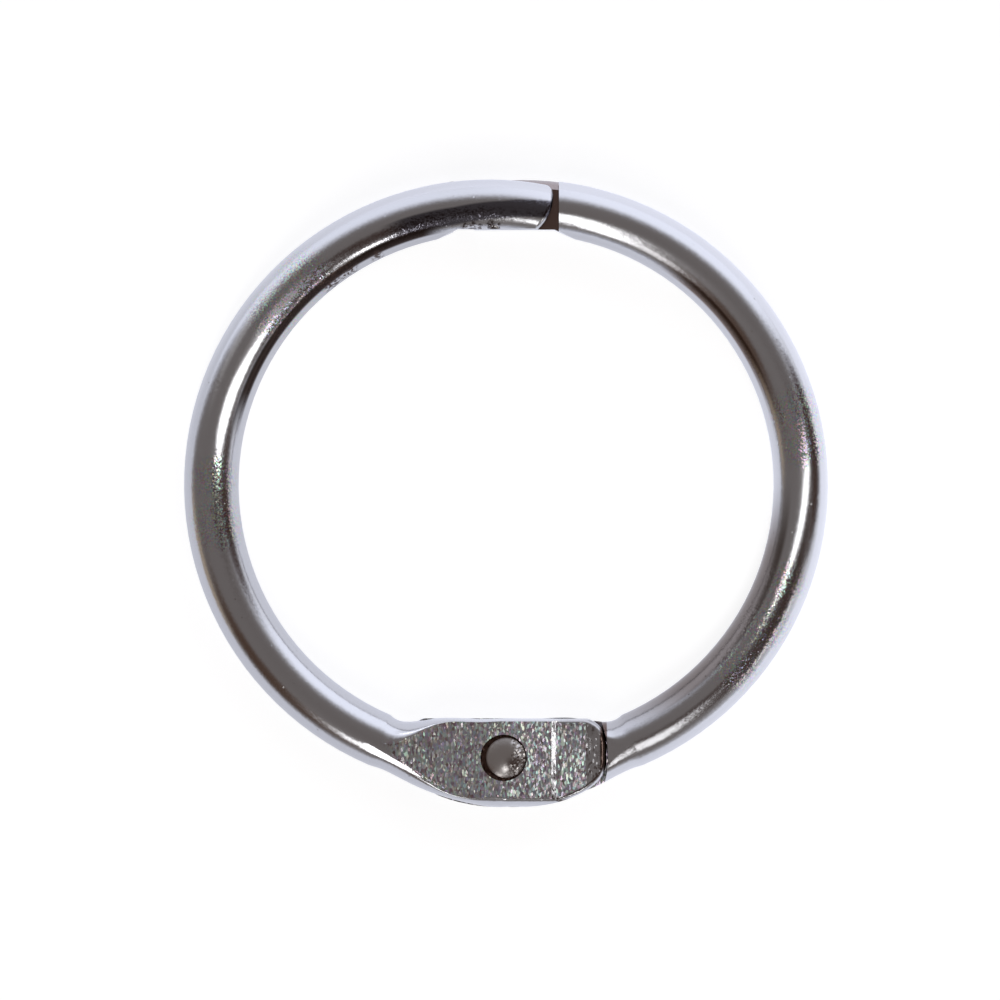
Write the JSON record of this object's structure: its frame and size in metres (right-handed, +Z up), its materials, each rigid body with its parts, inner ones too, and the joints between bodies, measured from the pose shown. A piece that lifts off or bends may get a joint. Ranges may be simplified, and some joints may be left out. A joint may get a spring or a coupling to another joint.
{
  "type": "binder ring",
  "caption": "Hinged loose-leaf binder ring of bent round wire: half rings joined by a riveted lap hinge at the bottom, with half-lapped ends that snap shut at the top.",
  "frame": {"origin": "on the surface that the ring lies on, under the middle of its overall width and height", "axes": "+Z up, out of the ring's plane, +Y from the hinge to the closure, +X towards the right half"},
  "size_m": [0.0306, 0.0298, 0.0026],
  "materials": {
    "nickel_plate_left": "polished nickel plate on steel wire, lug face coined to a fine matt grain, worn at the lap",
    "nickel_plate_right": "polished nickel plate on steel wire, lug face coined to a fine matt grain",
    "rivet_steel": "nickel-plated steel, smooth domed heads"
  },
  "bodies": {
    "left_half": {"left_half_ring": "nickel_plate_left", "hinge_rivet": "rivet_steel"},
    "right_half": {"right_half_ring": "nickel_plate_right"}
  },
  "joints": [
    {"name": "ring_open", "type": "hinge", "parent": "left_half", "child": "right_half", "pos_m": [0, -0.01252, 0.0013], "axis": [0, 0, -1], "range_deg": [0, 145]}
  ]
}
